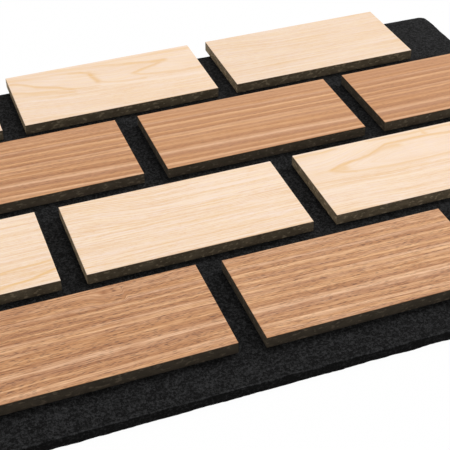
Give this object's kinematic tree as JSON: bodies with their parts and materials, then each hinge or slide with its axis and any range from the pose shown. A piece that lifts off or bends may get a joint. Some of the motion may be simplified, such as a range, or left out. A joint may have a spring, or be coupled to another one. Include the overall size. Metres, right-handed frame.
{
  "type": "acoustic slat panel",
  "caption": "Felt-backed acoustic wall panel with short wood-veneered tiles laid in a staggered brick pattern that laps the next panel.",
  "frame": {"origin": "centre of the felt sheet's back face, the face that goes to the wall", "axes": "+X along the rows of tiles, +Y across the rows towards the edge that the last row stands out past, +Z out of the face, away from the wall"},
  "size_m": [0.9275, 0.616, 0.0246],
  "materials": {
    "felt": "matte needled felt board",
    "fibreboard": "bare sawn edge of black-dyed fibreboard",
    "brown_veneer": "straight-grained brown veneer, matte",
    "pale_veneer": "pale fine-grained veneer, matte"
  },
  "bodies": {
    "root": {"felt_backing": "felt", "core_row1_tile1": "fibreboard", "veneer_row1_tile1": "brown_veneer", "core_row1_tile2": "fibreboard", "veneer_row1_tile2": "brown_veneer", "core_row1_tile3": "fibreboard", "veneer_row1_tile3": "brown_veneer", "core_row2_tile1": "fibreboard", "veneer_row2_tile1": "pale_veneer", "core_row2_tile2": "fibreboard", "veneer_row2_tile2": "pale_veneer", "core_row2_tile3": "fibreboard", "veneer_row2_tile3": "pale_veneer", "core_row3_tile1": "fibreboard", "veneer_row3_tile1": "brown_veneer", "core_row3_tile2": "fibreboard", "veneer_row3_tile2": "brown_veneer", "core_row3_tile3": "fibreboard", "veneer_row3_tile3": "brown_veneer", "core_row4_tile1": "fibreboard", "veneer_row4_tile1": "pale_veneer", "core_row4_tile2": "fibreboard", "veneer_row4_tile2": "pale_veneer", "core_row4_tile3": "fibreboard", "veneer_row4_tile3": "pale_veneer"}
  },
  "joints": []
}
